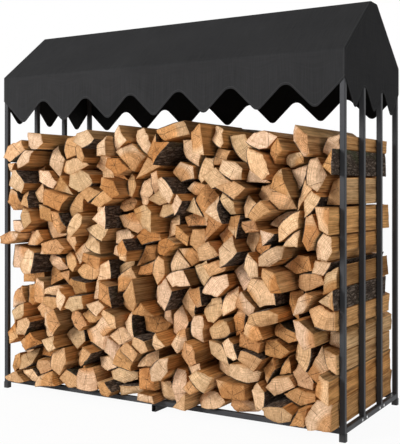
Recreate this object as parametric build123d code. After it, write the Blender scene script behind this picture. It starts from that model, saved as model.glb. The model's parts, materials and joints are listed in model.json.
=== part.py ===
from build123d import *
import os
from dataclasses import dataclass
from math import asin, atan2, ceil, cos, hypot, pi, radians, sin
from random import Random

import numpy as np

# A covered firewood rack, in millimetres. X runs along its length, Y from front to back and
# Z up from the ground. The origin is on the ground under the middle of the rack.

# Steel frame
length = 1200.0  # outside the corner posts
depth = 455.0  # outside the corner posts
eave_height = 1033.0  # top of the posts and of the rails between them
ridge_height = 1193.0  # top of the ridge beam
tube = 15.0  # square tube
tube_wall = 1.2
tube_corner = 2.0  # outside radius of a tube's corners
rail_clearance = 20.0  # ground to the underside of the bottom rails
ridge_width = 50.0
ridge_depth = 22.0
bars_per_end = 2  # between the two posts of each end

# Plastic caps on the feet of the posts
cap_floor = 3.0
cap_wall = 1.6
cap_gap = 0.2  # round the post, and under the bottom rails

# Fabric cover
cover_thickness = 2.0
cover_gap = 0.3  # between the cover and the frame
valance_valley = 76.0  # from the eave down to the high points of the scalloped edge, before rounding
valance_tip = 157.5  # from the eave down to the low points, before rounding
front_scallops = 7
end_scallops = 3
valley_radius = 28.0
tip_radius = 18.0

# Firewood
seat_gap = 0.3  # between a log and what it rests on or leans against
left_gap = (24.0, 104.0)  # between the ragged left side of the stack and the bars there
left_headroom = 10.0  # between the left half of the stack and the tips of the cover
right_headroom = 48.0  # at the right end, where the stack is lower
log_width = 100.0  # of the ellipse round a split section
log_aspect = (0.5, 0.95)  # its height over its width
log_scale = (0.7, 1.24, 0.95)  # the smallest, the largest and the most usual log
log_corners = (2.6, 6.4, 4.4)  # the fewest, the most and the most usual number, rounded
corner_spread = 0.26  # of the step between corners, either way
bark_radius = 104.0
bark_share = 0.68  # of the logs have bark left on their longest side, if it stays convex
front_overhang = (-22.0, 74.0)  # of the front ends, past the front of the frame
back_inset = (12.0, 105.0)  # of the back ends, inside the back of the frame
rail_overlap = (0.0, 16.0)  # of the lowest logs' back ends, past the back of the frame
saw_tilt = 13.0  # largest angle of a sawn end from square
tier_height = 70.0  # the logs whose middles lie in one such step of height are a tier

# How the stack is laid
log_seed = 5
shapes_tried = 40  # for each log, to find one that fits snugly
search_step = 3.0  # spacing of the places tried along the rack
bark_flat = 4.0  # length of the flats laid round the bark to find where a log rests
void_weight = 1.4  # how much the holes under a log count against its height
void_depth = 26.0  # deepest hole that counts
end_bonus = 9.0  # in favour of a log that lies flat against the bars of the right end
corner_decimals = 6  # corners this close count as level or as one above the other

half_length = length / 2
half_depth = depth / 2
rail_top = rail_clearance + tube
slope = atan2(ridge_height - eave_height, half_depth - ridge_width / 2)


def tube_between(start, end, across, width=tube, height=tube):
    """A straight hollow tube. Its width lies along the direction called across."""
    start, end = Vector(*start), Vector(*end)
    along = end - start
    outside = RectangleRounded(width, height, tube_corner)
    inside = Rectangle(width - 2 * tube_wall, height - 2 * tube_wall)
    plane = Plane(origin=start, x_dir=across, z_dir=along)
    return extrude(plane * (outside - inside), amount=along.length)


def upright(x, y, bottom, top):
    return tube_between((x, y, bottom), (x, y, top), (1, 0, 0))


def rafter(x, side):
    """From the top of the wall at one side up to the ridge beam. The side is -1 in front, 1 behind."""
    reach = 2 * depth
    rise = Vector(0, -side * cos(slope), sin(slope))
    inward = Vector(0, -side * sin(slope), -cos(slope))
    foot = Vector(x, side * half_depth, eave_height) + inward * (tube / 2)
    blank = tube_between(foot - rise * reach, foot + rise * reach, (1, 0, 0))
    near = ridge_width / 2
    bay = Pos(x, side * (near + reach / 2), eave_height + reach / 2) * Box(2 * tube, reach, reach)
    return blank & bay


def frame_nodes():
    post_x = half_length - tube / 2
    post_y = half_depth - tube / 2
    rail_z = rail_clearance + tube / 2
    top_z = eave_height - tube / 2
    between_x = half_length - tube
    between_y = half_depth - tube
    bar_step = 2 * post_y / (bars_per_end + 1)
    nodes = {}
    for end, sx in (("left", -1), ("right", 1)):
        for side, sy in (("front", -1), ("back", 1)):
            nodes[f"{end}_{side}_post"] = upright(sx * post_x, sy * post_y, cap_floor, eave_height)
            nodes[f"{end}_{side}_rafter"] = rafter(sx * post_x, sy)
        for index in range(bars_per_end):
            bar_y = -post_y + (index + 1) * bar_step
            bar = upright(sx * post_x, bar_y, rail_top, eave_height - tube)
            nodes[f"{end}_bar_{index + 1}"] = bar
        for level, z in (("bottom", rail_z), ("top", top_z)):
            ends = (sx * post_x, -between_y, z), (sx * post_x, between_y, z)
            nodes[f"{end}_{level}_rail"] = tube_between(*ends, (1, 0, 0))
    for side, sy in (("front", -1), ("back", 1)):
        for level, z in (("bottom", rail_z), ("eave", top_z)):
            ends = (-between_x, sy * post_y, z), (between_x, sy * post_y, z)
            nodes[f"{side}_{level}_rail"] = tube_between(*ends, (0, 1, 0))
        nodes[f"middle_{side}_rafter"] = rafter(0, sy)
    ridge_z = ridge_height - ridge_depth / 2
    ridge_ends = (-half_length, 0, ridge_z), (half_length, 0, ridge_z)
    nodes["ridge_beam"] = tube_between(*ridge_ends, (0, 1, 0), ridge_width, ridge_depth)
    bearer_z = rail_clearance / 2
    bearer_ends = (0, -half_depth, bearer_z), (0, half_depth, bearer_z)
    nodes["centre_bearer"] = tube_between(*bearer_ends, (1, 0, 0), tube, rail_clearance)
    nodes["foot_caps"] = foot_caps(post_x, post_y)
    return nodes


def foot_caps(post_x, post_y):
    """Cups that the posts stand in, up to the bottom rails."""
    inside = tube + 2 * cap_gap
    outside = inside + 2 * cap_wall
    height = rail_clearance - cap_gap
    cup = extrude(RectangleRounded(outside, outside, tube_corner + cap_wall), amount=height)
    socket = extrude(Rectangle(inside, inside), amount=height)
    cup -= Pos(0, 0, cap_floor) * socket
    return Compound(children=[
        Pos(sx * post_x, sy * post_y, 0) * cup for sx in (-1, 1) for sy in (-1, 1)
    ])


def eave_corner(offset):
    """(Y, Z) of the front fold at the eave, at this distance outside the frame."""
    return -half_depth - offset, eave_height + offset * (1 - sin(slope)) / cos(slope)


def crown_corner(offset):
    """(Y, Z) of the front fold at the flat crown, at this distance outside the frame."""
    return -ridge_width / 2 - offset * (1 - cos(slope)) / sin(slope), ridge_height + offset


def along_length(points, start, end):
    """A panel with this outline in Y and Z, from one X to another."""
    outline = [Vector(start, y, z) for y, z in points]
    return extrude(make_face(Polyline(*outline, close=True)), amount=end - start, dir=(1, 0, 0))


def scallops(span, count):
    """The area under a cover's hem, in the plane of the panel, with the eave at zero."""
    pitch = span / count
    drop = valance_tip - valance_valley
    largest = 0.45 * hypot(pitch / 2, drop) / (2 * drop / pitch)
    points = []
    for index in range(count):
        points.append((-span / 2 + index * pitch, -valance_valley))
        points.append((-span / 2 + (index + 0.5) * pitch, -valance_tip))
    points.append((span / 2, -valance_valley))
    radii = [min(tip_radius, largest), min(valley_radius, largest)] * count
    hem = FilletPolyline(*points, radius=radii[:-1])
    below = -2 * valance_tip
    rest = Polyline(hem @ 1, (span / 2, below), (-span / 2, below), hem @ 0)
    return make_face(Wire(hem.edges() + rest.edges()))


def cover_nodes():
    inner, outer = cover_gap, cover_gap + cover_thickness
    end_x = half_length + inner
    eave_in, eave_out = eave_corner(inner), eave_corner(outer)
    crown_in, crown_out = crown_corner(inner), crown_corner(outer)
    low = eave_out[1] - 1.5 * valance_tip
    slope_panel = [eave_in, eave_out, crown_out, crown_in]
    crown_panel = [crown_in, crown_out, (-crown_out[0], crown_out[1]), (-crown_in[0], crown_in[1])]
    fall = [eave_in, eave_out, (eave_out[0], low), (eave_in[0], low)]
    gable = [(eave_out[0], low), eave_out, crown_out]
    gable += [(-y, z) for y, z in reversed(gable)]
    front_plane = Plane(origin=(0, 0, eave_out[1]), x_dir=(1, 0, 0), z_dir=(0, -1, 0))
    right_plane = Plane(origin=(0, 0, eave_out[1]), x_dir=(0, 1, 0), z_dir=(1, 0, 0))
    front_cut = extrude(front_plane * scallops(2 * end_x, front_scallops), amount=depth)
    end_cut = extrude(right_plane * scallops(-2 * eave_out[0], end_scallops), amount=length)
    front_valance = along_length(fall, -end_x, end_x) - front_cut
    front_slope = along_length(slope_panel, -end_x, end_x)
    right_end = along_length(gable, end_x, end_x + cover_thickness) - end_cut
    return {
        "cover_front_valance": front_valance,
        "cover_back_valance": front_valance.mirror(Plane.XZ),
        "cover_front_slope": front_slope,
        "cover_back_slope": front_slope.mirror(Plane.XZ),
        "cover_crown": along_length(crown_panel, -end_x, end_x),
        "cover_right_end": right_end,
        "cover_left_end": right_end.mirror(Plane.YZ),
    }


@dataclass
class Section:
    """The cross-section of a split log: corners (X, Z) anticlockwise, and perhaps one bark side."""

    corners: list
    bark_side: int | None
    radius: float

    def turned(self, angle):
        c, s = cos(angle), sin(angle)
        corners = [(c * x - s * z, s * x + c * z) for x, z in self.corners]
        return Section(corners, self.bark_side, self.radius)

    def moved(self, dx, dz):
        corners = [(x + dx, z + dz) for x, z in self.corners]
        return Section(corners, self.bark_side, self.radius)

    def side(self, index):
        return self.corners[index], self.corners[(index + 1) % len(self.corners)]

    def bark_arc(self):
        """The centre, first angle and swept angle of the bark side."""
        (x0, z0), (x1, z1) = self.side(self.bark_side)
        chord = hypot(x1 - x0, z1 - z0)
        half = asin(chord / 2 / self.radius)
        across = self.radius * cos(half)
        centre_x = (x0 + x1) / 2 - (z1 - z0) / chord * across
        centre_z = (z0 + z1) / 2 + (x1 - x0) / chord * across
        return (centre_x, centre_z), atan2(z0 - centre_z, x0 - centre_x), 2 * half

    def outline(self):
        """The corners, with short flats laid round the outside of the bark."""
        points = []
        for index, corner in enumerate(self.corners):
            points.append(corner)
            if index != self.bark_side:
                continue
            (x, z), first, sweep = self.bark_arc()
            flats = ceil(sweep * self.radius / bark_flat)
            reach = self.radius / cos(sweep / flats / 2)
            for flat in range(flats):
                angle = first + (flat + 0.5) * sweep / flats
                points.append((x + reach * cos(angle), z + reach * sin(angle)))
        return points

    def face(self, y):
        """The section as a face across the rack at this Y."""
        edges = []
        for index in range(len(self.corners)):
            (x0, z0), (x1, z1) = self.side(index)
            if index == self.bark_side:
                (x, z), first, sweep = self.bark_arc()
                middle = first + sweep / 2
                crest = (x + self.radius * cos(middle), y, z + self.radius * sin(middle))
                edges.append(ThreePointArc((x0, y, z0), crest, (x1, y, z1)))
            else:
                edges.append(Line((x0, y, z0), (x1, y, z1)))
        return make_face(Wire([edge.edge() for edge in edges]))


@dataclass
class Log:
    """A placed section with its upper surface, as two arrays, for the logs that come to lie on it."""

    section: Section
    top_x: np.ndarray
    top_z: np.ndarray
    on_rails: bool


def split_section(rng, scale, count):
    """A random split log: corners on an ellipse, and perhaps one side round with bark."""
    half_width = log_width / 2 * scale
    half_height = half_width * rng.uniform(*log_aspect)
    first = rng.uniform(0, 2 * pi)
    steps = [i + rng.uniform(-corner_spread, corner_spread) for i in range(count)]
    angles = [first + step * 2 * pi / count for step in steps]
    corners = [(half_width * cos(angle), half_height * sin(angle)) for angle in angles]
    section = Section(corners, None, bark_radius)
    if rng.random() < bark_share:
        section.bark_side = bark_side_of(section)
    return section


def bark_side_of(section):
    """The longest side, if bark bulging out of it keeps the log convex at both corners."""
    count = len(section.corners)
    sides = [section.side(i) for i in range(count)]
    lengths = [hypot(b[0] - a[0], b[1] - a[1]) for a, b in sides]
    headings = [atan2(b[1] - a[1], b[0] - a[0]) for a, b in sides]
    longest = max(range(count), key=lambda i: lengths[i])
    if lengths[longest] > 1.5 * section.radius:
        return None
    bulge = asin(lengths[longest] / 2 / section.radius)
    before = (headings[longest] - headings[longest - 1]) % (2 * pi)
    after = (headings[(longest + 1) % count] - headings[longest]) % (2 * pi)
    return longest if bulge < 0.9 * min(before, after) else None


def chains(points):
    """The lower and the upper line of a convex outline, each from left to right."""
    points = [(round(x, corner_decimals), round(z, corner_decimals)) for x, z in points]
    count = len(points)
    low_left = min(range(count), key=lambda i: (points[i][0], points[i][1]))
    low_right = max(range(count), key=lambda i: (points[i][0], -points[i][1]))
    high_left = min(range(count), key=lambda i: (points[i][0], -points[i][1]))
    high_right = max(range(count), key=lambda i: (points[i][0], points[i][1]))
    lower = [points[(low_left + k) % count] for k in range((low_right - low_left) % count + 1)]
    upper = [points[(high_left - k) % count] for k in range((high_left - high_right) % count + 1)]
    return np.array(lower), np.array(upper)


def rest_height(lower, logs):
    """How far up a lower line moves so that it lies just clear of the rails and of each log."""
    height, on_rails = rail_top + seat_gap - lower[:, 1].min(), True
    first, last = lower[0, 0], lower[-1, 0]
    for log in logs:
        if log.top_x[0] >= last or log.top_x[-1] <= first:
            continue
        places = np.concatenate([lower[:, 0], log.top_x])
        places = places[(places >= max(first, log.top_x[0])) & (places <= min(last, log.top_x[-1]))]
        gaps = np.interp(places, log.top_x, log.top_z) - np.interp(places, lower[:, 0], lower[:, 1])
        if gaps.max() + seat_gap > height:
            height, on_rails = gaps.max() + seat_gap, False
    return height, on_rails


def best_place(section, skyline, first_column):
    """(Cost, column, top) of the snuggest place for this section, from this column on."""
    lower, upper = chains(section.outline())
    columns = max(2, ceil((lower[-1, 0] - lower[0, 0]) / search_step))
    middles = np.linspace(lower[0, 0], lower[-1, 0], 2 * columns + 1)[1::2]
    under = np.interp(middles, *lower.T)
    over = np.interp(middles, *upper.T)
    windows = np.lib.stride_tricks.sliding_window_view(skyline, columns)
    first_column = min(first_column, len(windows) - 1)
    windows = windows[first_column:]
    heights = (windows - under).max(axis=1)
    voids = np.minimum(heights[:, None] + under - windows, void_depth).mean(axis=1)
    costs = heights + (under.mean() + over.mean()) / 2 + void_weight * voids
    pick = int(costs.argmin())
    return costs[pick], first_column + pick, heights[pick] + over.max()


def flat_to_the_right(section):
    """The section turned so that its longest flat side stands upright at its right."""
    flats = [i for i in range(len(section.corners)) if i != section.bark_side]
    sides = {i: section.side(i) for i in flats}
    longest = max(flats, key=lambda i: hypot(*(b - a for a, b in zip(*sides[i]))))
    (x0, z0), (x1, z1) = sides[longest]
    return section.turned(pi / 2 - atan2(z1 - z0, x1 - x0))


def snuggest(rng, skyline, tops):
    """Of many random logs, the (section, column) that fits the skyline best, or None at the top."""
    scale, count = rng.triangular(*log_scale), round(rng.triangular(*log_corners))
    ragged = int((rng.uniform(*left_gap) - left_gap[0]) / search_step)
    choices = []
    for _ in range(shapes_tried):
        section = split_section(rng, scale, count).turned(rng.uniform(0, 2 * pi))
        cost, column, height = best_place(section, skyline, ragged)
        choices.append((cost, height < tops[column], section, column))
        section = flat_to_the_right(section)
        cost, _, height = best_place(section, skyline, len(skyline))
        choices.append((cost - end_bonus, height < tops[-1], section, None))
    fitting = [choice for choice in choices if choice[1]]
    return min(fitting, key=lambda choice: choice[0])[2:] if fitting else None


def stacked_logs():
    """Split logs dropped one by one where they lie lowest and leave the smallest holes."""
    rng = Random(log_seed)
    left = -half_length + tube + left_gap[0]
    right = half_length - tube - seat_gap
    skyline = np.full(int((right - left) / search_step), rail_top)
    places = left + (np.arange(len(skyline)) + 0.5) * search_step
    headroom = np.interp(places, (0, right), (left_headroom, right_headroom))
    tops = eave_height - valance_tip - headroom
    logs = []
    while choice := snuggest(rng, skyline, tops):
        section, column = choice
        lower, upper = chains(section.outline())
        if column is None:
            shift = right - lower[-1, 0]
        else:
            shift = left + column * search_step - lower[0, 0]
        lower[:, 0] += shift
        rise, on_rails = rest_height(lower, logs)
        upper += (shift, rise)
        ends = upper[0] - (seat_gap, 0), upper[-1] + (seat_gap, 0)
        top_x, top_z = np.vstack([ends[0], upper, ends[1]]).T
        logs.append(Log(section.moved(shift, rise), top_x, top_z, on_rails))
        covered = (places >= top_x[0]) & (places <= top_x[-1])
        raised = np.interp(places[covered], top_x, top_z)
        skyline[covered] = np.maximum(skyline[covered], raised)
    return logs


def sawn_plane(x, y, z, rng):
    """The plane of a saw cut across a log, a little off square."""
    turn = radians(rng.uniform(-saw_tilt, saw_tilt))
    lean = radians(rng.uniform(-saw_tilt, saw_tilt))
    return Plane(origin=(x, y, z), z_dir=(sin(turn), cos(turn), sin(lean)))


def log_solid(log, rng):
    """The section run from front to back and sawn off at both ends."""
    xs, zs = zip(*log.section.corners)
    x, z = sum(xs) / len(xs), sum(zs) / len(zs)
    front = -half_depth - rng.uniform(*front_overhang)
    back = half_depth - rng.uniform(*back_inset)
    if log.on_rails:
        front = min(front, -half_depth)
        back = half_depth + rng.uniform(*rail_overlap)
    spare = log_width
    blank = extrude(log.section.face(front - spare), amount=back - front + 2 * spare, dir=(0, 1, 0))
    sawn = split(blank, bisect_by=sawn_plane(x, front, z, rng), keep=Keep.TOP)
    return split(sawn, bisect_by=sawn_plane(x, back, z, rng), keep=Keep.BOTTOM)


def firewood_nodes():
    """The logs of the stack, sorted into tiers by the height of their middles."""
    rng = Random(log_seed + 1)
    tiers = {}
    for log in stacked_logs():
        middle = sum(z for _, z in log.section.corners) / len(log.section.corners)
        tier = int((middle - rail_top) / tier_height) + 1
        tiers.setdefault(tier, []).append(log_solid(log, rng))
    return {f"firewood_tier_{tier:02d}": Compound(children=tiers[tier]) for tier in sorted(tiers)}


nodes = {**frame_nodes(), **cover_nodes(), **firewood_nodes()}
os.makedirs("parts", exist_ok=True)
for name, shape in nodes.items():
    export_step(shape, f"parts/{name}.step")
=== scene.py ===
import json
import math
from random import Random

import bmesh
import bpy
import numpy as np
from mathutils import Matrix, Vector, noise


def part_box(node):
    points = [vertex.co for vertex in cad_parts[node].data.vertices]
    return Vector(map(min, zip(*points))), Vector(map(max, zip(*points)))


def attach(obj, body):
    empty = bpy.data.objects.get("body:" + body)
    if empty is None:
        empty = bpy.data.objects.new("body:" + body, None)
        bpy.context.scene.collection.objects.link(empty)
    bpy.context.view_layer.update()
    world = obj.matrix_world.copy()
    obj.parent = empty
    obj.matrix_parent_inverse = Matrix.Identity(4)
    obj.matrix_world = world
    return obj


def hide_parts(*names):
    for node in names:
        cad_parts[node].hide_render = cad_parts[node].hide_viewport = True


# A firewood rack of square steel tube with a sewn fabric cover, filled with split logs

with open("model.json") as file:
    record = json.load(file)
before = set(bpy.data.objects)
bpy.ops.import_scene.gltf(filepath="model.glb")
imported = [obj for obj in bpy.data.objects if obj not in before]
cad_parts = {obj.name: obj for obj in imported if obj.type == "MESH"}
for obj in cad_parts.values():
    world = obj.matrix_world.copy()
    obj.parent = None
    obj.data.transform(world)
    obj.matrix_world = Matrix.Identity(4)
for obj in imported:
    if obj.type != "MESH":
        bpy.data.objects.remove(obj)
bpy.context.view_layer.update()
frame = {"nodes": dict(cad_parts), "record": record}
print("Frame loaded:", len(frame["nodes"]), "nodes")


# Helpers: selection and mesh data first, then short forms for wiring a node tree

def makeActive(*objects):
    bpy.ops.object.select_all(action="DESELECT")
    for obj in objects:
        obj.select_set(True)
    bpy.context.view_layer.objects.active = objects[0]


def selectFaces(obj, isWanted):  # in edit mode
    bpy.ops.mesh.select_mode(type="FACE")
    bpy.ops.mesh.select_all(action="DESELECT")
    shell = bmesh.from_edit_mesh(obj.data)
    for face in shell.faces:
        face.select_set(isWanted(face))
    bmesh.update_edit_mesh(obj.data)


def storeOnPoints(mesh, name, kind, values):
    field = {"FLOAT": "value", "FLOAT_VECTOR": "vector", "FLOAT_COLOR": "color"}[kind]
    mesh.attributes.new(name, kind, "POINT").data.foreach_set(field, values)


def addNode(tree, kind, inputs=None, **settings):
    node = tree.nodes.new(kind)
    for name, value in settings.items():
        setattr(node, name, value)
    for socket, value in (inputs or {}).items():
        if isinstance(value, bpy.types.NodeSocket):
            tree.links.new(value, node.inputs[socket])
        else:
            node.inputs[socket].default_value = value
    return node


def calc(tree, operation, *values):
    return addNode(tree, "ShaderNodeMath", dict(enumerate(values)), operation=operation).outputs[0]


def times(tree, first, *others):
    for value in others:
        first = calc(tree, "MULTIPLY", first, value)
    return first


def plus(tree, first, *others):
    for value in others:
        first = calc(tree, "ADD", first, value)
    return first


def stretch(tree, vector, scale):
    return addNode(tree, "ShaderNodeMapping", {"Vector": vector, "Scale": scale}).outputs[0]


def noiseOf(tree, vector, seed=0.0, detail=3.0, roughness=0.55, scale=1.0):
    inputs = {"Vector": vector, "W": seed, "Scale": scale, "Detail": detail, "Roughness": roughness}
    return addNode(tree, "ShaderNodeTexNoise", inputs, noise_dimensions="4D").outputs[0]


def lineNoise(tree, place, scale):
    inputs = {"W": place, "Scale": scale, "Detail": 2.0}
    return addNode(tree, "ShaderNodeTexNoise", inputs, noise_dimensions="1D").outputs[0]


def cellEdges(tree, dimensions, **inputs):  # distance from the border between two cells
    settings = {"voronoi_dimensions": dimensions, "feature": "DISTANCE_TO_EDGE"}
    return addNode(tree, "ShaderNodeTexVoronoi", {**inputs, "Scale": 1.0}, **settings).outputs["Distance"]


def remap(tree, value, low, high, toLow=0.0, toHigh=1.0):
    inputs = {"Value": value, "From Min": low, "From Max": high, "To Min": toLow, "To Max": toHigh}
    return addNode(tree, "ShaderNodeMapRange", inputs).outputs[0]


def mixColors(tree, factor, first, second, blend="MIX"):  # each a socket, or red, green and blue
    first, second = [(*color, 1) if isinstance(color, tuple) else color for color in (first, second)]
    inputs = {0: factor, 6: first, 7: second}
    settings = {"data_type": "RGBA", "blend_type": blend, "clamp_factor": True}
    return addNode(tree, "ShaderNodeMix", inputs, **settings).outputs[2]


def ramp(tree, factor, stops):
    node = addNode(tree, "ShaderNodeValToRGB", {0: factor})
    elements = node.color_ramp.elements
    elements[0].position, elements[-1].position = stops[0][0], stops[-1][0]
    for position, _ in stops[1:-1]:
        elements.new(position)
    for element, (_, color) in zip(elements, stops):
        element.color = (*color, 1)
    return node.outputs[0]


def grey(tree, value):
    return addNode(tree, "ShaderNodeCombineColor", {0: value, 1: value, 2: value}).outputs[0]


def warmGrey(tree, value):  # less than one browns a colour as well as darkening it
    deep = calc(tree, "MINIMUM", value, 1.0)
    green = times(tree, value, calc(tree, "POWER", deep, 0.25))
    blue = times(tree, value, calc(tree, "POWER", deep, 0.6))
    return addNode(tree, "ShaderNodeCombineColor", {0: value, 1: green, 2: blue}).outputs[0]


def bump(tree, height, distance, strength=1.0, normal=None):
    inputs = {"Height": height, "Distance": distance, "Strength": strength}
    if normal:
        inputs["Normal"] = normal
    return addNode(tree, "ShaderNodeBump", inputs).outputs[0]


def newFinish(name, **constants):
    material = bpy.data.materials.new(name)
    material.use_nodes = True
    shader = material.node_tree.nodes["Principled BSDF"]
    for socket, value in constants.items():
        shader.inputs[socket.replace("_", " ")].default_value = value
    return material, material.node_tree, shader


def dress(tree, shader, color, roughness, normal):
    tree.links.new(color, shader.inputs["Base Color"])
    tree.links.new(roughness, shader.inputs["Roughness"])
    tree.links.new(normal, shader.inputs["Normal"])


def objectPlace(tree):
    return addNode(tree, "ShaderNodeTexCoord").outputs["Object"]


def readAttribute(tree, name, output="Vector"):
    return addNode(tree, "ShaderNodeAttribute", attribute_name=name).outputs[output]


def partsOf(tree, vector):
    return addNode(tree, "ShaderNodeSeparateXYZ", {0: vector}).outputs


# Camera, at the viewpoint the rack is seen from

cameraSetup = {
    "place": (1.392, -2.3095, 0.667),
    "heading": 30.62,  # degrees to the left of square on
    "lens": 68.06,
    "shiftY": -0.077,
}


def setUpCamera(setup):
    turned = (math.pi / 2, 0, math.radians(setup["heading"]))
    bpy.ops.object.camera_add(location=setup["place"], rotation=turned)
    camera = bpy.context.object
    camera.data.lens = setup["lens"]
    camera.data.shift_y = setup["shiftY"]
    camera.data.dof.use_dof = False
    bpy.context.scene.camera = camera


setUpCamera(cameraSetup)


# Studio: a pale floor and room, a broad lamp in front to the left, and weak ones to the right and behind

studio = {
    "floorSize": 60.0,
    "floorColor": (0.9, 0.9, 0.9, 1),
    "roomLight": 0.30,
    "floorGlow": 0.95,  # share of the floor's own white in what the camera sees of it
    "lamps": {  # place, size and watts
        "keyLamp": ((-1.9, -4.6, 2.2), 1.8, 212),
        "fillLamp": ((3.6, -1.6, 2.2), 2.2, 20),
        "backLamp": ((-1.6, 4.2, 2.6), 2.2, 85),
    },
    "aim": (0.0, 0.0, 0.6),
}


def seenStraight(tree):
    seen = addNode(tree, "ShaderNodeLightPath")
    straight = calc(tree, "MAXIMUM", seen.outputs["Is Camera Ray"], seen.outputs["Is Glossy Ray"])
    return calc(tree, "MAXIMUM", straight, seen.outputs["Is Transmission Ray"])


def setUpRoom(setup):
    world = bpy.data.worlds.new("studioRoom")
    bpy.context.scene.world = world
    world.use_nodes = True
    tree = world.node_tree
    lit = tree.nodes["Background"]
    lit.inputs["Strength"].default_value = setup["roomLight"]
    lit.inputs["Color"].default_value = (1, 1, 1, 1)
    shown = addNode(tree, "ShaderNodeBackground", {"Color": (1, 1, 1, 1), "Strength": 1.0})
    shaders = {0: seenStraight(tree), 1: lit.outputs[0], 2: shown.outputs[0]}
    mixed = addNode(tree, "ShaderNodeMixShader", shaders)
    tree.links.new(mixed.outputs[0], tree.nodes["World Output"].inputs["Surface"])


def setUpFloor(setup):
    bpy.ops.mesh.primitive_plane_add(size=setup["floorSize"])
    floor = bpy.context.object
    floor.name = "studioFloor"
    material, tree, shader = newFinish("paleFloor", Roughness=0.9, Base_Color=setup["floorColor"])
    glow = addNode(tree, "ShaderNodeEmission", {"Color": (1, 1, 1, 1), "Strength": 1.0})
    share = times(tree, seenStraight(tree), setup["floorGlow"])
    mixed = addNode(tree, "ShaderNodeMixShader", {0: share, 1: shader.outputs[0], 2: glow.outputs[0]})
    tree.links.new(mixed.outputs[0], tree.nodes["Material Output"].inputs["Surface"])
    floor.data.materials.append(material)


def setUpLamps(setup):
    for name, (place, size, watts) in setup["lamps"].items():
        aim = Vector(setup["aim"]) - Vector(place)
        turned = aim.to_track_quat("-Z", "Y").to_euler()
        bpy.ops.object.light_add(type="AREA", location=place, rotation=turned)
        lamp = bpy.context.object
        lamp.name = name
        lamp.data.size = size
        lamp.data.energy = watts


bpy.context.scene.view_settings.view_transform = "Standard"
setUpRoom(studio)
setUpFloor(studio)
setUpLamps(studio)
print("Camera and studio ready")


# Steel tube: satin powder coat with a fine orange peel

powderCoat = {
    "color": (0.052, 0.053, 0.057),
    "worn": (0.068, 0.069, 0.072),
    "roughness": (0.34, 0.48),
    "peel": 0.00012,  # height of the orange peel, in metres
}


def powderCoatFinish(look):
    material, tree, shader = newFinish("satinPowderCoat", Specular_IOR_Level=0.09)
    place = objectPlace(tree)
    cloudy = noiseOf(tree, place, scale=9.0, detail=4.0)
    fine = noiseOf(tree, place, scale=700.0, detail=2.0)
    color = mixColors(tree, remap(tree, cloudy, 0.45, 0.8), look["color"], look["worn"])
    roughness = remap(tree, cloudy, 0.3, 0.7, *look["roughness"])
    dress(tree, shader, color, roughness, bump(tree, fine, look["peel"], 0.6))
    return material


# Foot caps: black moulded plastic

capPlastic = {"color": (0.012, 0.012, 0.013), "scuffed": (0.035, 0.034, 0.033)}


def capFinish(look):
    material, tree, shader = newFinish("mouldedPlastic")
    place = objectPlace(tree)
    scuffs = noiseOf(tree, place, scale=60.0, detail=6.0, roughness=0.7)
    color = mixColors(tree, remap(tree, scuffs, 0.5, 0.75), look["color"], look["scuffed"])
    grained = bump(tree, noiseOf(tree, place, scale=2200.0), 0.0001, 0.5)
    dress(tree, shader, color, remap(tree, scuffs, 0.3, 0.7, 0.45, 0.7), grained)
    return material


def finishFrame():
    finishes = {"powder_coated_steel": powderCoatFinish(powderCoat), "foot_cap": capFinish(capPlastic)}
    for row in frame["record"]["subparts"]:
        finish = finishes.get(row["material_slot"])
        if finish:
            node = frame["nodes"][row["node"]]
            node.data.materials.clear()
            node.data.materials.append(finish)


finishFrame()
print("Steel and foot caps finished")


# Screws: zinc-plated, with a domed head and a hexagon socket, along the bottom rail of each end

railScrew = {
    "radius": 0.0038,
    "rim": 0.0005,  # height of the head's straight edge
    "dome": ((0.0008, 0.0005), (0.0008, 0.0003), (0.0007, 0.0001)),  # inset and rise of each step
    "socket": 0.0008,  # depth
    "around": 24,
    "besideBar": 0.018,  # either side of the middle of a bar
    "color": (0.80, 0.81, 0.82),
    "tarnish": (0.58, 0.58, 0.57),
}


def zincFinish(look):
    material, tree, shader = newFinish("zincPlating", Metallic=1.0)
    place = objectPlace(tree)
    cloudy = noiseOf(tree, place, scale=600.0, detail=4.0)
    color = mixColors(tree, remap(tree, cloudy, 0.45, 0.75), look["color"], look["tarnish"])
    grained = bump(tree, noiseOf(tree, place, scale=4000.0), 0.00002, 0.4)
    dress(tree, shader, color, remap(tree, cloudy, 0.3, 0.7, 0.22, 0.42), grained)
    return material


def makeScrewHead(look):
    bpy.ops.object.select_all(action="DESELECT")
    bpy.ops.mesh.primitive_cylinder_add(vertices=look["around"], radius=look["radius"], depth=look["rim"])
    head = bpy.context.object
    bpy.ops.object.mode_set(mode="EDIT")
    selectFaces(head, lambda face: face.normal.z > 0.9)
    for inset, rise in look["dome"]:
        bpy.ops.mesh.inset(thickness=inset)
        bpy.ops.transform.translate(value=(0, 0, rise))
    shell = bmesh.from_edit_mesh(head.data)
    top = next(face for face in shell.faces if face.select)
    for corner in top.verts:  # the socket's rim, from a circle to a hexagon
        turn = math.atan2(corner.co.y, corner.co.x) % (math.pi / 3) - math.pi / 6
        corner.co.xy *= math.cos(math.pi / 6) / math.cos(turn)
    bmesh.update_edit_mesh(head.data)
    bpy.ops.mesh.extrude_region_move(TRANSFORM_OT_translate={"value": (0, 0, -look["socket"])})
    bpy.ops.object.mode_set(mode="OBJECT")
    head.data.transform(Matrix.Translation((0, 0, look["rim"] / 2)))
    return head


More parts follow.
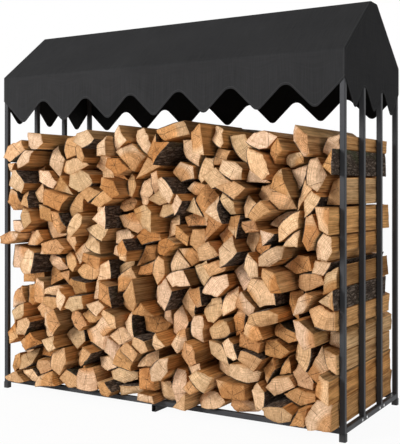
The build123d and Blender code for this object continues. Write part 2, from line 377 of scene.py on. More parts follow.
def fitScrews(look):
    head = makeScrewHead(look)
    finish = zincFinish(look)
    screws = []
    for end, side in (("left", -1), ("right", 1)):
        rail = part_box(end + "_bottom_rail")
        middle = (rail[0].z + rail[1].z) / 2
        face = rail[1].x if side > 0 else rail[0].x
        outward = Matrix.Rotation(side * math.pi / 2, 4, "Y")
        for bar in (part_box(end + "_bar_1"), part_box(end + "_bar_2")):
            barMiddle = (bar[0].y + bar[1].y) / 2
            for y in (barMiddle - look["besideBar"], barMiddle + look["besideBar"]):
                screw = bpy.data.objects.new("screw", head.data.copy())
                bpy.context.collection.objects.link(screw)
                screw.data.transform(Matrix.Translation((face, y, middle)) @ outward)
                screws.append(screw)
    bpy.data.objects.remove(head)
    makeActive(*screws)
    bpy.ops.object.join()
    piece = bpy.context.object
    piece.name = "railScrews"
    piece.data.materials.append(finish)
    bpy.ops.object.shade_smooth_by_angle(angle=math.radians(35))
    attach(piece, "root")
    print("Screws fitted:", len(screws))


fitScrews(railScrew)


# Cover: one sewn cloth with a scalloped hem, pulled over the frame

cover = {
    "cloth": 0.0009,
    "hem": 0.0017,  # thickness where the hem is turned over
    "hemBand": 0.008,
    "valley": 0.076,  # from the eave down to the high points of the hem, before rounding
    "tip": 0.1575,  # and down to its low points
    "valleyRadius": 0.028,
    "tipRadius": 0.018,
    "longScallops": 7,
    "endScallops": 3,
    "columnsPerScallop": 38,
    "valanceRows": 14,
    "slopeRows": 44,
    "crownRows": 8,
    "rowPitch": 0.0062,  # of the weave's pattern, from one row to the next
    "foldRadius": 0.0035,
    "foldAngle": 25.0,  # degrees; a sharper edge gets that radius
    "sag": 0.0035,
    "flutter": 0.0022,
    "inside": 0.0004,  # from the solid's face in to the cloth's
    "endOut": 0.0018,  # from the end of the front valance out to the end's cloth
}


def hemDrop(along, span, count):
    pitch = span / count
    steep = (cover["tip"] - cover["valley"]) / (pitch / 2)
    lean = math.atan(steep)
    fromTip = abs((along + span / 2) % pitch - pitch / 2)
    fromValley = pitch / 2 - fromTip

    def rounding(radius, away):
        return radius / math.cos(lean) - math.sqrt(radius ** 2 - away ** 2)

    if fromTip < cover["tipRadius"] * math.sin(lean):
        return cover["tip"] - rounding(cover["tipRadius"], fromTip)
    if fromValley < cover["valleyRadius"] * math.sin(lean) and span / 2 - abs(along) > pitch / 4:
        return cover["valley"] + rounding(cover["valleyRadius"], fromValley)
    return cover["tip"] - steep * fromTip


def coverShape():
    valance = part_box("cover_front_valance")
    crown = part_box("cover_crown")
    inside = cover["inside"]
    return {
        "halfX": valance[1].x + cover["endOut"],
        "eaveY": -valance[0].y - inside,
        "eaveZ": valance[1].z - inside,
        "crownY": crown[1].y - inside,
        "crownZ": crown[1].z - inside,
    }


def valanceHeights(drop, rows):  # above the hem, with the hem's band as the first row
    band = cover["hemBand"]
    return [0.0] + [band + (drop - band) * (row / (rows - 1)) for row in range(rows)]


def stripPoint(shape, x, row, rows):  # from the front hem over the crown to the back hem
    valanceRows, slopeRows = cover["valanceRows"], cover["slopeRows"]
    side = -1 if row <= rows / 2 else 1
    row = min(row, rows - row)
    if row <= valanceRows:
        drop = hemDrop(x, 2 * shape["halfX"], cover["longScallops"])
        height = valanceHeights(drop, valanceRows)[row]
        loose = (1 - height / drop) * (1 - (x / shape["halfX"]) ** 8)
        wave = noise.noise(Vector((x * 9, side * 3.1, height * 4)))
        y = shape["eaveY"] + cover["flutter"] * loose * wave
        return Vector((x, side * y, shape["eaveZ"] - drop + height))
    along = (row - valanceRows) / slopeRows
    if along <= 1:
        y = shape["eaveY"] + (shape["crownY"] - shape["eaveY"]) * along
        z = shape["eaveZ"] + (shape["crownZ"] - shape["eaveZ"]) * along
        bay = math.sin(math.pi * abs(x) / shape["halfX"]) ** 2
        uneven = 1 + 0.5 * noise.noise(Vector((x * 5, side, along * 2)))
        sag = cover["sag"] * bay * math.sin(math.pi * along) * uneven
        return Vector((x, side * y, z - sag))
    outward = 1 - (row - valanceRows - slopeRows) / (cover["crownRows"] / 2)
    return Vector((x, side * shape["crownY"] * outward, shape["crownZ"]))


def foldGrid(name, columns, rows, place, pattern):
    bpy.ops.mesh.primitive_grid_add(x_subdivisions=columns, y_subdivisions=rows, size=2)
    sheet = bpy.context.object
    sheet.name = name
    mesh = sheet.data
    cloth = mesh.uv_layers.active
    cloth.name = "cloth"
    rowOf = []
    for vertex in mesh.vertices:
        column = round((vertex.co.x + 1) / 2 * columns)
        row = round((vertex.co.y + 1) / 2 * rows)
        rowOf.append(row)
        vertex.co = place(column, row)
    for loop in mesh.loops:
        point = mesh.vertices[loop.vertex_index].co
        cloth.data[loop.index].uv = pattern(point, rowOf[loop.vertex_index])
    return sheet


def edgeDistances(shape, point):  # to the hem, and to the seam at the end
    halfX, eaveY, eaveZ = shape["halfX"], shape["eaveY"], shape["eaveZ"]
    near = 0.002  # a point as close as this is on the end, or up at the eave
    onEnd = abs(point.x) > halfX - near
    span, count = (2 * eaveY, cover["endScallops"]) if onEnd else (2 * halfX, cover["longScallops"])
    along = point.y if onEnd else point.x
    hem = point.z - (eaveZ - hemDrop(along, span, count))
    if not onEnd:
        onSlope = point.z > eaveZ - near
        return (1.0 if onSlope else hem), halfX - abs(point.x)  # the slope has no hem near it
    rise, run = shape["crownZ"] - eaveZ, eaveY - shape["crownY"]
    toSlope = ((eaveY - abs(point.y)) * rise - (point.z - eaveZ) * run) / math.hypot(rise, run)
    return hem, max(0.0, min(eaveY - abs(point.y), toSlope, shape["crownZ"] - point.z))


def sewCover():
    shape = coverShape()
    columns = cover["longScallops"] * cover["columnsPerScallop"]
    rows = 2 * (cover["valanceRows"] + cover["slopeRows"]) + cover["crownRows"]
    endColumns = rows - 2 * cover["valanceRows"]

    def stripPlace(column, row):
        return stripPoint(shape, shape["halfX"] * (2 * column / columns - 1), row, rows)

    def stripPattern(point, row):
        return point.x, row * cover["rowPitch"]

    def endPlace(side):
        def place(column, row):
            top = stripPoint(shape, side * shape["halfX"], column + cover["valanceRows"], rows)
            drop = hemDrop(top.y, 2 * shape["eaveY"], cover["endScallops"])
            height = valanceHeights(drop + top.z - shape["eaveZ"], cover["valanceRows"])[row]
            loose = max(0.0, 1 - height / drop) * (1 - (top.y / shape["eaveY"]) ** 8)
            wave = noise.noise(Vector((side * 7.7, top.y * 9, height * 4)))
            x = side * (shape["halfX"] + cover["flutter"] * loose * wave)
            return Vector((x, top.y, shape["eaveZ"] - drop + height))
        return place

    def endPattern(point, _):
        return point.y, point.z

    strip = foldGrid("fabricCover", columns, rows, stripPlace, stripPattern)
    ends = []
    for side in (-1, 1):
        ends.append(foldGrid("fabricEnd", endColumns, cover["valanceRows"], endPlace(side), endPattern))
    makeActive(strip, *ends)
    bpy.ops.object.join()
    bpy.ops.object.mode_set(mode="EDIT")
    bpy.ops.mesh.select_all(action="SELECT")
    bpy.ops.mesh.remove_doubles(threshold=0.0003)
    bpy.ops.mesh.normals_make_consistent(inside=False)
    bpy.ops.mesh.select_all(action="DESELECT")
    bpy.ops.mesh.select_mode(type="EDGE")
    bpy.ops.mesh.edges_select_sharp(sharpness=math.radians(cover["foldAngle"]))
    bpy.ops.mesh.bevel(offset=cover["foldRadius"], segments=3, affect="EDGES")
    bpy.ops.object.mode_set(mode="OBJECT")
    return strip, shape


def thickenCover(piece, shape):
    mesh = piece.data
    distances = [edgeDistances(shape, vertex.co) for vertex in mesh.vertices]
    values = [value for hem, seam in distances for value in (hem, seam, 0.0)]
    storeOnPoints(mesh, "edgeDistance", "FLOAT_VECTOR", values)
    hemGroup = piece.vertex_groups.new(name="hem")
    for index, (hem, _) in enumerate(distances):
        turnedOver = hem < 0.6 * cover["hemBand"]
        hemGroup.add([index], 1.0 if turnedOver else 0.0, "REPLACE")
    makeActive(piece)
    solid = piece.modifiers.new("cloth", "SOLIDIFY")
    solid.thickness = cover["hem"]
    solid.offset = -1
    solid.vertex_group = "hem"
    solid.thickness_vertex_group = cover["cloth"] / cover["hem"]
    # the back faces take the second finish: the cloth's coated back, painted near-black as shade
    solid.material_offset = 1
    bpy.ops.object.modifier_apply(modifier="cloth")
    bpy.ops.object.shade_smooth_by_angle(angle=math.radians(40))


clothLook = {
    "color": (0.036, 0.036, 0.037),
    "slub": (0.026, 0.026, 0.027),
    "thread": 0.0011,  # spacing of the weave
    "stitch": 0.0034,
    "stitchColor": (0.062, 0.062, 0.063),
    "hemStitch": 0.0062,  # from the hem in to its line of stitches
    "seamStitch": 0.0055,
    # the cloth's coated back, near-black: painted shade inside the cover
    "insideShade": (0.006, 0.006, 0.006),
}


def clothFinish(look):
    material, tree, shader = newFinish("wovenCoverCloth", Specular_IOR_Level=0.04)
    cloth = addNode(tree, "ShaderNodeUVMap", uv_map="cloth").outputs[0]
    toHem, toSeam, _ = partsOf(tree, readAttribute(tree, "edgeDistance"))
    across, upward, _ = partsOf(tree, cloth)
    turns = 2 * math.pi / look["thread"]
    warp = calc(tree, "SINE", times(tree, across, turns))
    weft = calc(tree, "SINE", times(tree, upward, turns))
    upright = noiseOf(tree, stretch(tree, cloth, (420, 14, 1)), detail=3.0)
    level = noiseOf(tree, stretch(tree, cloth, (9, 300, 1)), seed=3.0, detail=2.0)
    slubs = plus(tree, times(tree, upright, 0.7), times(tree, level, 0.3))
    color = mixColors(tree, remap(tree, slubs, 0.35, 0.65), look["color"], look["slub"])
    broad = noiseOf(tree, stretch(tree, cloth, (5, 5, 1)), seed=8.0)
    color = mixColors(tree, 1.0, color, grey(tree, remap(tree, broad, 0.3, 0.7, 0.90, 1.08)), "MULTIPLY")
    hemLine = calc(tree, "COMPARE", toHem, look["hemStitch"], 0.0007)
    seamLine = calc(tree, "COMPARE", toSeam, look["seamStitch"], 0.0006)
    along = plus(tree, across, times(tree, upward, 0.7))
    passed = calc(tree, "FRACT", calc(tree, "DIVIDE", along, look["stitch"]))
    dash = calc(tree, "GREATER_THAN", passed, 0.3)
    stitches = times(tree, calc(tree, "MAXIMUM", hemLine, seamLine), dash)
    color = mixColors(tree, stitches, color, look["stitchColor"])
    woven = bump(tree, times(tree, warp, weft), 0.00012, 0.5)
    ribbed = bump(tree, slubs, 0.0006, 0.5, woven)
    sewn = bump(tree, stitches, 0.0005, 0.8, ribbed)
    dress(tree, shader, color, remap(tree, slubs, 0.3, 0.7, 0.84, 0.96), sewn)
    return material


# The cloth's coated back: near-black as painted shade inside the cover, with faint patches
def insideShadeFinish(look):
    material, tree, shader = newFinish("coverInside", Specular_IOR_Level=0.2)
    cloth = addNode(tree, "ShaderNodeUVMap", uv_map="cloth").outputs[0]
    patches = noiseOf(tree, stretch(tree, cloth, (60, 60, 1)), detail=5.0)
    dark = tuple(0.5 * value for value in look["insideShade"])
    color = mixColors(tree, patches, dark, look["insideShade"])
    roughness = remap(tree, patches, 0.3, 0.7, 0.7, 0.85)
    dress(tree, shader, color, roughness, bump(tree, patches, 0.0002, 0.5))
    return material


def clothArea(shape):  # the two sides of the sheet as cut, and the area of the cloth
    width = 2 * shape["halfX"]
    hang = (cover["valley"] + cover["tip"]) / 2
    rise, run = shape["crownZ"] - shape["eaveZ"], shape["eaveY"] - shape["crownY"]
    slopeLength = math.hypot(rise, run)
    strip = width * (2 * hang + 2 * slopeLength + 2 * shape["crownY"])
    end = 2 * shape["eaveY"] * hang + (shape["eaveY"] + shape["crownY"]) * rise
    across = 2 * (cover["tip"] + slopeLength + shape["crownY"])
    return (width + 2 * (rise + cover["tip"]), across), strip + 2 * end


def makeCover():
    piece, shape = sewCover()
    piece.data.materials.append(clothFinish(clothLook))
    # the inside takes the near-black painted shade
    piece.data.materials.append(insideShadeFinish(clothLook))
    thickenCover(piece, shape)
    flat, area = clothArea(shape)
    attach(piece, "root")
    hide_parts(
        "cover_front_slope", "cover_back_slope", "cover_front_valance", "cover_back_valance",
        "cover_crown", "cover_left_end", "cover_right_end",
    )
    print("Cover sewn: cut from", [round(side, 3) for side in flat], "area", round(area, 3))


makeCover()


# Split logs: each follows the outline of its solid, roughened, with sawn ends, split sides and bark

logShape = {
    "around": 36,  # points round the outline
    "stations": 13,  # rings between the two ends
    "capRings": (0.9, 0.8, 0.62, 0.44, 0.24),  # of the blank's end faces
    "usualLength": 0.45,  # that the roughness along a log is laid out for
    "barkThickness": 0.0028,
    "innerBark": 1.6,  # depth of the second ring of an end, in thicknesses of bark
    "cornerCut": 0.0024,
    "cornerTurn": 20.0,  # degrees; a smaller turn in the outline is bark
    "swell": 0.040,  # share of its radius that a log varies by
    "fibre": 0.020,
    "barkPlates": 0.022,
    "steps": 0.07,
    "chips": (0, 1, 1, 2),  # an end's sloping cuts, one of these numbers
    "chipSlope": (0.35, 1.0),
    "chipDepth": 0.020,
    "endRelief": 0.0012,
    "weatheredShare": 0.18,  # of the split sides
    "flatBarkShare": 0.5,  # of the logs with no round side: a slab's bark is nearly flat
    "pithReach": (0.0, 0.02, 0.045, 0.07),  # from the middle of a log with no round side
    "smoothBelow": 24.0,  # degrees between two faces
    "seed": 5,
}

woodTints = {
    "end": [
        (0.88, 0.60, 0.38), (0.86, 0.56, 0.32), (0.76, 0.44, 0.22), (0.88, 0.60, 0.41),
        (0.64, 0.35, 0.15), (0.74, 0.50, 0.28),
    ],
    "side": [
        (0.82, 0.42, 0.15), (0.84, 0.48, 0.20), (0.66, 0.32, 0.11), (0.82, 0.53, 0.27),
        (0.52, 0.26, 0.10),
    ],
    "weathered": [(0.36, 0.20, 0.08), (0.22, 0.12, 0.05), (0.46, 0.28, 0.13), (0.40, 0.20, 0.07)],
    "level": (0.83, 1.03),  # darkest and lightest that a tint is made
}


def makeBlankLog():
    bpy.ops.object.select_all(action="DESELECT")
    bpy.ops.mesh.primitive_cylinder_add(
        vertices=logShape["around"], radius=1, depth=2, end_fill_type="NGON", rotation=(math.pi / 2, 0, 0))
    blank = bpy.context.object
    blank.name = "blankLog"
    bpy.ops.object.transform_apply(location=True, rotation=True, scale=True)
    bpy.ops.object.mode_set(mode="EDIT")
    bpy.ops.mesh.select_mode(type="EDGE")
    bpy.ops.mesh.select_all(action="DESELECT")
    shell = bmesh.from_edit_mesh(blank.data)
    for edge in shell.edges:
        edge.select_set(abs(edge.verts[0].co.y - edge.verts[1].co.y) > 1)
    bmesh.update_edit_mesh(blank.data)
    bpy.ops.mesh.subdivide(number_cuts=logShape["stations"])
    for end in (-1, 1):
        selectFaces(blank, lambda face: face.normal.y * end > 0.9)
        previous = 1.0
        for ring in logShape["capRings"]:
            inward = (previous - ring) * math.cos(math.pi / logShape["around"])
            bpy.ops.mesh.inset(thickness=inward)
            previous = ring
        bpy.ops.mesh.poke()
    bpy.ops.object.mode_set(mode="OBJECT")
    return blank


class BlankLog:  # where the blank's points and faces lie: how far out, which column and which station
    def __init__(self, piece):
        mesh = piece.data
        around = logShape["around"]
        co = np.empty(len(mesh.vertices) * 3)
        mesh.vertices.foreach_get("co", co)
        co = co.reshape(-1, 3)
        self.mesh = mesh
        self.radius = np.hypot(co[:, 0], co[:, 2])
        self.along = (co[:, 1] + 1) / 2
        angles = np.arctan2(co[:, 2], co[:, 0]) / (2 * math.pi)
        self.column = np.round(angles * around).astype(int) % around
        self.station = np.round(self.along * (logShape["stations"] + 1)).astype(int)
        self.faceColumn = []
        self.faceKind = []
        for face in mesh.polygons:
            corners = [v for v in face.vertices if self.radius[v] > 0.05]
            columns = sorted({int(self.column[v]) for v in corners})
            wraps = columns[0] == 0 and columns[-1] == around - 1
            self.faceColumn.append(columns[-1] if wraps else columns[0])
            onEnd = abs(face.normal.y) > 0.9
            rim = onEnd and max(self.radius[v] for v in corners) > 0.95
            self.faceKind.append("rim" if rim else "end" if onEnd else "side")


class LogOutline:  # a solid's end planes, its middle, and its outline's sides from corner to corner
    def __init__(self, island):
        faces = {face for vertex in island for face in vertex.link_faces}
        front = min(faces, key=lambda face: face.normal.y)
        back = max(faces, key=lambda face: face.normal.y)
        self.planes = [(face.normal.copy(), face.verts[0].co.copy()) for face in (front, back)]
        points = [Vector((loop.vert.co.x, loop.vert.co.z)) for loop in front.loops]
        count = len(points)
        self.middle = sum(points, Vector((0, 0))) / count
        area = sum(a.x * b.y - b.x * a.y for a, b in zip(points, points[1:] + points[:1]))
        if area < 0:
            points.reverse()
        lowest = min(range(count), key=lambda i: (round(points[i].y, 4), points[i].x))
        points = points[lowest:] + points[:lowest]
        turns = []
        for index in range(count):
            before = points[index] - points[index - 1]
            after = points[(index + 1) % count] - points[index]
            turns.append(math.degrees(before.angle_signed(after)))
        corners = [i for i in range(count) if abs(turns[i]) > logShape["cornerTurn"]]
        self.sides = []
        for index, start in enumerate(corners):
            stop = corners[(index + 1) % len(corners)]
            steps = (stop - start) % count
            self.sides.append([points[(start + k) % count] for k in range(steps + 1)])

    def endPlace(self, which, x, z):
        normal, point = self.planes[which]
        return point.y - (normal.x * (x - point.x) + normal.z * (z - point.z)) / normal.y


def circleCentre(a, b, c):
    ax, ay = b - a
    bx, by = c - a
    d = 2 * (ax * by - ay * bx)
    ux = (by * (ax * ax + ay * ay) - ay * (bx * bx + by * by)) / d
    uy = (ax * (bx * bx + by * by) - bx * (ax * ax + ay * ay)) / d
    return a + Vector((ux, uy))


def sideLength(side):
    return sum((b - a).length for a, b in zip(side, side[1:]))


def spreadPoints(outline, rng):  # round the outline, with a point close to either side of each corner
    around = logShape["around"]
    sides = outline.sides
    lengths = [sideLength(side) for side in sides]
    noRound = max(len(side) for side in sides) == 2
    slab = lengths.index(max(lengths)) if noRound and rng.random() < logShape["flatBarkShare"] else None
    spare = around - 3 * len(sides)
    counts = [int(spare * length / sum(lengths)) for length in lengths]
    while sum(counts) < spare:
        neediest = max(range(len(sides)), key=lambda i: lengths[i] / (counts[i] + 1))
        counts[neediest] += 1
    points, bark, sideOf = [], [], []
    pith = None
    for index, (side, length, count) in enumerate(zip(sides, lengths, counts)):
        isRound = len(side) > 2
        centre = circleCentre(side[0], side[len(side) // 2], side[-1]) if isRound else None
        pith = centre or pith
        cut = min(logShape["cornerCut"], 0.2 * length) / length
        between = [cut + (1 - 2 * cut) * (k + 1) / (count + 1) for k in range(count)]
        for share in [0.0, cut, *between, 1 - cut]:
            point = side[0].lerp(side[-1], share)
            if centre:
                spoke = (side[0] - centre).angle_signed((side[-1] - centre))
                point = centre + rotated(side[0] - centre, -spoke * share)
            points.append(point)
            bark.append(isRound or index == slab)
            sideOf.append(index)
    return points, bark, sideOf, pith


def rotated(spoke, angle):
    c, s = math.cos(angle), math.sin(angle)
    return Vector((c * spoke.x - s * spoke.y, s * spoke.x + c * spoke.y))


def rough(away, place, offset, bark):  # share of the radius that is cut away at a point
    swell = noise.noise(Vector((away.x * 1.1, away.y * 1.1, place * 2.5)) + offset)
    if bark:
        plates = noise.noise(Vector((away.x * 9, away.y * 9, place * 26)) + offset)
        return 0.5 * logShape["swell"] * (1 + swell) + logShape["barkPlates"] * (1 + plates)
    ridges = noise.noise(Vector((away.x * 6, away.y * 6, place * 7)) + offset)
    broken = noise.noise(Vector((away.x * 1.7, away.y * 1.7, place * 1.2)) - offset)
    step = min(1.0, max(0.0, (broken - 0.22) * 14)) * logShape["steps"]
    return logShape["swell"] * (1 + swell) + logShape["fibre"] * (1 + ridges) + step


def chipped(across, offset, rng):  # depth that is cut off an end at each point
    uneven = [noise.noise(Vector((55 * x, 55 * z, 0)) + offset) for x, z in across]
    depth = logShape["endRelief"] * (1 + np.array(uneven))
    for _ in range(rng.choice(logShape["chips"])):
        turn = rng.uniform(0, 2 * math.pi)
        reach = across @ (math.cos(turn), math.sin(turn))
        past = reach - reach.max() * rng.uniform(0.05, 0.7)
        depth += np.clip(past * rng.uniform(*logShape["chipSlope"]), 0, logShape["chipDepth"])
    return depth


def shapeLog(blank, outline, rng):
    points, bark, sideOf, pith = spreadPoints(outline, rng)
    around = logShape["around"]
    stations = logShape["stations"] + 2
    middle = outline.middle
    offset = Vector([rng.uniform(-50, 50) for _ in range(3)])
    turned = rng.uniform(0, 2 * math.pi)
    if pith is None:
        reach = rng.choice(logShape["pithReach"]) + rng.uniform(0, 0.015)
        pith = middle + Vector((math.cos(turned), math.sin(turned))) * reach
    centre = np.array(tuple(middle))
    cut = np.zeros((around, stations))
    for column in range(around):
        away = (points[column] - middle).normalized()
        for station in range(stations):
            place = station / (stations - 1) * logShape["usualLength"]
            cut[column, station] = rough(away, place, offset, bark[column])
    spoke = np.array([tuple(point) for point in points]) - centre
    rim = logShape["barkThickness"] / np.hypot(*spoke.T)
    rings = logShape["capRings"]
    shares = {ring: np.full(around, ring) for ring in (1.0, *rings[2:])}
    shares.update({rings[0]: 1 - rim, rings[1]: 1 - logShape["innerBark"] * rim})
    share = np.zeros(len(blank.radius))
    for ring, values in shares.items():
        onRing = np.abs(blank.radius - ring) < 0.04
        share[onRing] = values[blank.column[onRing]]
    trimmed = share * (1 - cut[blank.column, blank.station])
    xz = centre + spoke[blank.column] * trimmed[:, None]
    fronts = np.array([outline.endPlace(0, x, z) for x, z in xz])
    backs = np.array([outline.endPlace(1, x, z) for x, z in xz])
    fronts += chipped(xz - centre, offset, rng)
    backs -= chipped(xz - centre, -offset, rng)
    eased = blank.along - 0.75 * np.sin(2 * math.pi * blank.along) / (2 * math.pi)
    y = fronts + (backs - fronts) * eased
    co = np.stack([xz[:, 0], y, xz[:, 1]], axis=1)
    grain = np.stack([xz[:, 0] - pith.x, y, xz[:, 1] - pith.y], axis=1)
    return co, grain, bark, sideOf


def blendTint(tints, rng):
    first, second = rng.sample(tints, 2)
    share, level = rng.random(), rng.uniform(*woodTints["level"])
    return [level * (a + (b - a) * share) for a, b in zip(first, second)] + [1.0]


def makeLog(blank, outline, rng, finishes):
    co, grain, bark, sideOf = shapeLog(blank, outline, rng)
    mesh = blank.mesh.copy()
    log = bpy.data.objects.new("log", mesh)
    bpy.context.collection.objects.link(log)
    mesh.vertices.foreach_set("co", co.ravel())
    storeOnPoints(mesh, "grain", "FLOAT_VECTOR", grain.ravel())
    count = len(mesh.vertices)
    sideTints = [blendTint(woodTints["side"], rng) for _ in outline.sides]
    for index in range(len(sideTints)):
        if rng.random() < logShape["weatheredShare"]:
            sideTints[index] = blendTint(woodTints["weathered"], rng)
    onSides = np.array(sideTints)[np.array(sideOf)[blank.column]]
    storeOnPoints(mesh, "sideTint", "FLOAT_COLOR", onSides.ravel())
    storeOnPoints(mesh, "endTint", "FLOAT_COLOR", blendTint(woodTints["end"], rng) * count)
    storeOnPoints(mesh, "logSeed", "FLOAT", [rng.uniform(0, 90)] * count)
    storeOnPoints(mesh, "outward", "FLOAT", blank.radius)  # one at the edge of an end, towards which the sawn finish paints shade
    for finish in finishes:
        mesh.materials.append(finish)
    slots = {"end": (0, 0), "rim": (0, 2), "side": (1, 2)}  # which finish without bark, and with it
    chosen = [slots[kind][bark[column]] for kind, column in zip(blank.faceKind, blank.faceColumn)]
    mesh.polygons.foreach_set("material_index", chosen)
    mesh.update()
    return log


def logOutlines(node):  # one for each separate solid of a tier, always in the same order
    shell = bmesh.new()
    shell.from_mesh(node.data)
    bmesh.ops.remove_doubles(shell, verts=shell.verts, dist=0.00001)
    bmesh.ops.dissolve_limit(shell, angle_limit=math.radians(0.5), verts=shell.verts, edges=shell.edges)
    islands, seen = [], set()
    for vertex in shell.verts:
        if vertex in seen:
            continue
        seen.add(vertex)
        island = [vertex]
        for member in island:
            for edge in member.link_edges:
                other = edge.other_vert(member)
                if other not in seen:
                    seen.add(other)
                    island.append(other)
        islands.append(island)
    outlines = [LogOutline(island) for island in islands]
    shell.free()
    return sorted(outlines, key=lambda outline: (round(outline.middle.x, 4), outline.middle.y))


# Wood: rings round the pith, fibres along the log, all fixed to each log by its own coordinates

woodLook = {
    "ringSpacing": 0.0052,
    "heart": (0.84, 0.66, 0.47),  # darkens the middle of the trunk
    "heartEdge": (0.058, 0.044),  # from the pith to where the darkening starts, and to where it is full
    "sawMarks": 500.0,
    "sawMarkColor": (0.45, 0.27, 0.13),
    "crack": (0.15, 0.07, 0.03),
    "cracksPerRadian": 0.9,
    "streak": (0.13, 0.055, 0.02),
    "barkDark": (0.019, 0.013, 0.009),
    "barkMiddle": (0.085, 0.059, 0.043),
    "barkPale": (0.27, 0.21, 0.165),
    "moss": (0.075, 0.080, 0.040),
}


def woodPlace(tree):
    return {"grain": readAttribute(tree, "grain"), "seed": readAttribute(tree, "logSeed", "Fac")}


def woodNoise(tree, wood, across, along, detail=3.0, roughness=0.55):
    place = stretch(tree, wood["grain"], (across, along, across))
    return noiseOf(tree, place, wood["seed"], detail, roughness)


def woodRings(tree):
    wood = woodPlace(tree)
    grain = wood["grain"]
    flat = addNode(tree, "ShaderNodeVectorMath", {0: grain, 1: (1, 0, 1)}, operation="MULTIPLY").outputs[0]
    radius = addNode(tree, "ShaderNodeVectorMath", {0: flat}, operation="LENGTH").outputs["Value"]
    bent = plus(tree, radius, times(tree, woodNoise(tree, wood, 28, 3), 0.012))
    uneven = lineNoise(tree, plus(tree, bent, wood["seed"]), 70.0)
    turns = calc(tree, "DIVIDE", bent, woodLook["ringSpacing"])
    rings = calc(tree, "FRACT", plus(tree, turns, times(tree, uneven, 2.5)))
    late = times(tree, remap(tree, rings, 0.35, 0.92), remap(tree, rings, 1.0, 0.94))
    heart = remap(tree, bent, *woodLook["heartEdge"])
    return {**wood, "flat": flat, "radius": radius, "late": late, "heart": heart}


def cracksInEnd(tree, wood, parts, look):  # they run out from the pith
    angle = calc(tree, "ARCTAN2", parts[2], parts[0])
    place = plus(tree, times(tree, angle, look["cracksPerRadian"]), wood["seed"])
    apart = calc(tree, "DIVIDE", cellEdges(tree, "1D", W=place), look["cracksPerRadian"])
    spread = stretch(tree, wood["grain"], (70, 70, 70))
    torn = noiseOf(tree, spread, plus(tree, wood["seed"], 5.0), detail=2.0)
    wander = times(tree, calc(tree, "ABSOLUTE", calc(tree, "SUBTRACT", torn, 0.5)), 0.004)
    width = plus(tree, times(tree, apart, wood["radius"]), wander)
    return times(tree, remap(tree, width, 0.0011, 0.0003, 0.0, 0.9), remap(tree, torn, 0.42, 0.50))


def sawnFinish(look):
    material, tree, shader = newFinish("sawnEndGrain", Specular_IOR_Level=0.1)
    wood = woodRings(tree)
    parts = partsOf(tree, wood["grain"])
    patches = woodNoise(tree, wood, 38, 38, 5.0, 0.6)
    grit = woodNoise(tree, wood, 420, 420)
    blotches = woodNoise(tree, wood, 125, 125, 4.0, 0.7)
    spoke = addNode(tree, "ShaderNodeVectorMath", {0: wood["flat"]}, operation="NORMALIZE").outputs[0]
    along = plus(tree, wood["seed"], times(tree, wood["radius"], 16.0))
    rays = noiseOf(tree, stretch(tree, spoke, (34, 34, 34)), along, detail=4.0)
    # painted shade: each end darker towards its rim, along a ragged border
    ragged = times(tree, calc(tree, "SUBTRACT", blotches, 0.5), 0.5)
    edge = plus(tree, readAttribute(tree, "outward", "Fac"), ragged)
    ringed = times(tree, wood["late"], remap(tree, patches, 0.38, 0.56, 0.0, 0.34))
    shade = times(
        tree,
        remap(tree, patches, 0.30, 0.70, 0.74, 1.28),
        remap(tree, grit, 0.3, 0.7, 0.93, 1.07),
        remap(tree, blotches, 0.34, 0.66, 0.80, 1.17),
        remap(tree, rays, 0.35, 0.7, 0.84, 1.14),
        # the painted shade towards the rim of the end
        remap(tree, edge, 0.72, 1.02, 1.04, 0.74),
        calc(tree, "SUBTRACT", 1.0, ringed),
    )
    tint = readAttribute(tree, "endTint", "Color")
    color = mixColors(tree, 1.0, tint, warmGrey(tree, shade), "MULTIPLY")
    color = mixColors(tree, wood["heart"], color, look["heart"], "MULTIPLY")
    cracks = cracksInEnd(tree, wood, parts, look)
    color = mixColors(tree, cracks, color, look["crack"])
    sideways = times(tree, parts[0], calc(tree, "SINE", wood["seed"]))
    upward = times(tree, parts[2], calc(tree, "COSINE", wood["seed"]))
    sawn = lineNoise(tree, plus(tree, sideways, upward), look["sawMarks"])
    color = mixColors(tree, remap(tree, sawn, 0.55, 0.8, 0.0, 0.16), color, look["sawMarkColor"])
    uneven = bump(tree, plus(tree, patches, times(tree, rays, 0.4)), 0.006, 0.8)
    cutMarks = bump(tree, sawn, 0.0005, 0.5, uneven)
    cracked = bump(tree, calc(tree, "SUBTRACT", 1.0, cracks), 0.002, 0.8, cutMarks)
    dress(tree, shader, color, remap(tree, patches, 0.3, 0.7, 0.72, 0.9), cracked)
    return material


def splitFinish(look):
    material, tree, shader = newFinish("splitGrain", Specular_IOR_Level=0.05)
    wood = woodRings(tree)
    fibres = woodNoise(tree, wood, 330, 9, 5.0, 0.6)
    ridges = woodNoise(tree, wood, 75, 5, 4.0)
    hairs = woodNoise(tree, wood, 1000, 26)
    broad = woodNoise(tree, wood, 24, 7, 4.0, 0.6)
    shade = times(
        tree,
        remap(tree, fibres, 0.28, 0.72, 0.55, 1.30),
        remap(tree, hairs, 0.3, 0.7, 0.84, 1.14),
        remap(tree, wood["late"], 0.0, 1.0, 1.05, 0.72),
        remap(tree, broad, 0.34, 0.66, 0.72, 1.30),
    )
    tint = readAttribute(tree, "sideTint", "Color")
    color = mixColors(tree, 1.0, tint, warmGrey(tree, shade), "MULTIPLY")
    color = mixColors(tree, remap(tree, ridges, 0.52, 0.70, 0.0, 0.75), color, look["streak"])
    torn = bump(tree, ridges, 0.006, 0.8)
    fibrous = bump(tree, fibres, 0.0014, 0.9, torn)
    hairy = bump(tree, hairs, 0.0004, 0.7, fibrous)
    dress(tree, shader, color, remap(tree, fibres, 0.3, 0.7, 0.65, 0.85), hairy)
    return material


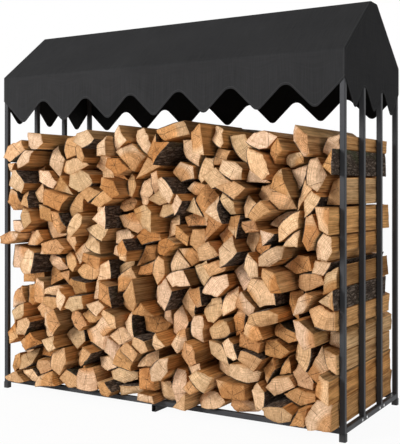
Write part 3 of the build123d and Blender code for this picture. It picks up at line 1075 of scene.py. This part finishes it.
def barkFinish(look):
    material, tree, shader = newFinish("furrowedBark", Specular_IOR_Level=0.08)
    wood = woodPlace(tree)
    worn = woodNoise(tree, wood, 80, 26, 5.0, 0.65)
    grit = woodNoise(tree, wood, 520, 260, 4.0, 0.7)
    furrows = woodNoise(tree, wood, 190, 15, 4.0, 0.6)
    straight = stretch(tree, wood["grain"], (120, 30, 120))
    shift = grey(tree, times(tree, worn, 2.4))
    bent = addNode(tree, "ShaderNodeVectorMath", {0: straight, 1: shift}, operation="ADD").outputs[0]
    plates = remap(tree, cellEdges(tree, "4D", Vector=bent, W=wood["seed"]), 0.0, 0.2, 0.0, 0.35)
    height = plus(tree, plates, times(tree, furrows, 0.65), times(tree, grit, 0.3))
    stops = [(0.42, look["barkDark"]), (0.68, look["barkMiddle"]), (0.98, look["barkPale"])]
    color = ramp(tree, height, stops)
    lichen = times(tree, remap(tree, worn, 0.48, 0.62), remap(tree, grit, 0.45, 0.6, 0.0, 0.6))
    color = mixColors(tree, lichen, color, look["barkPale"])
    mossy = woodNoise(tree, wood, 16, 9, 5.0)
    color = mixColors(tree, remap(tree, mossy, 0.56, 0.68, 0.0, 0.8), color, look["moss"])
    dress(tree, shader, color, remap(tree, worn, 0.3, 0.7, 0.8, 0.95), bump(tree, height, 0.005))
    return material


def stackFirewood():
    rng = Random(logShape["seed"])
    piece = makeBlankLog()
    blank = BlankLog(piece)
    finishes = [sawnFinish(woodLook), splitFinish(woodLook), barkFinish(woodLook)]
    tiers = [row["node"] for row in frame["record"]["subparts"] if row["material_slot"] == "split_firewood"]
    total = 0
    for name in tiers:
        logs = []
        for outline in logOutlines(frame["nodes"][name]):
            logs.append(makeLog(blank, outline, rng, finishes))
        makeActive(*logs)
        bpy.ops.object.join()
        tier = bpy.context.object
        tier.name = "logs_" + name.split("_")[-1]
        bpy.ops.object.shade_smooth_by_angle(angle=math.radians(logShape["smoothBelow"]))
        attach(tier, "root")
        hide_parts(name)
        total += len(logs)
    bpy.data.objects.remove(piece)
    print("Firewood stacked:", total, "logs")


stackFirewood()
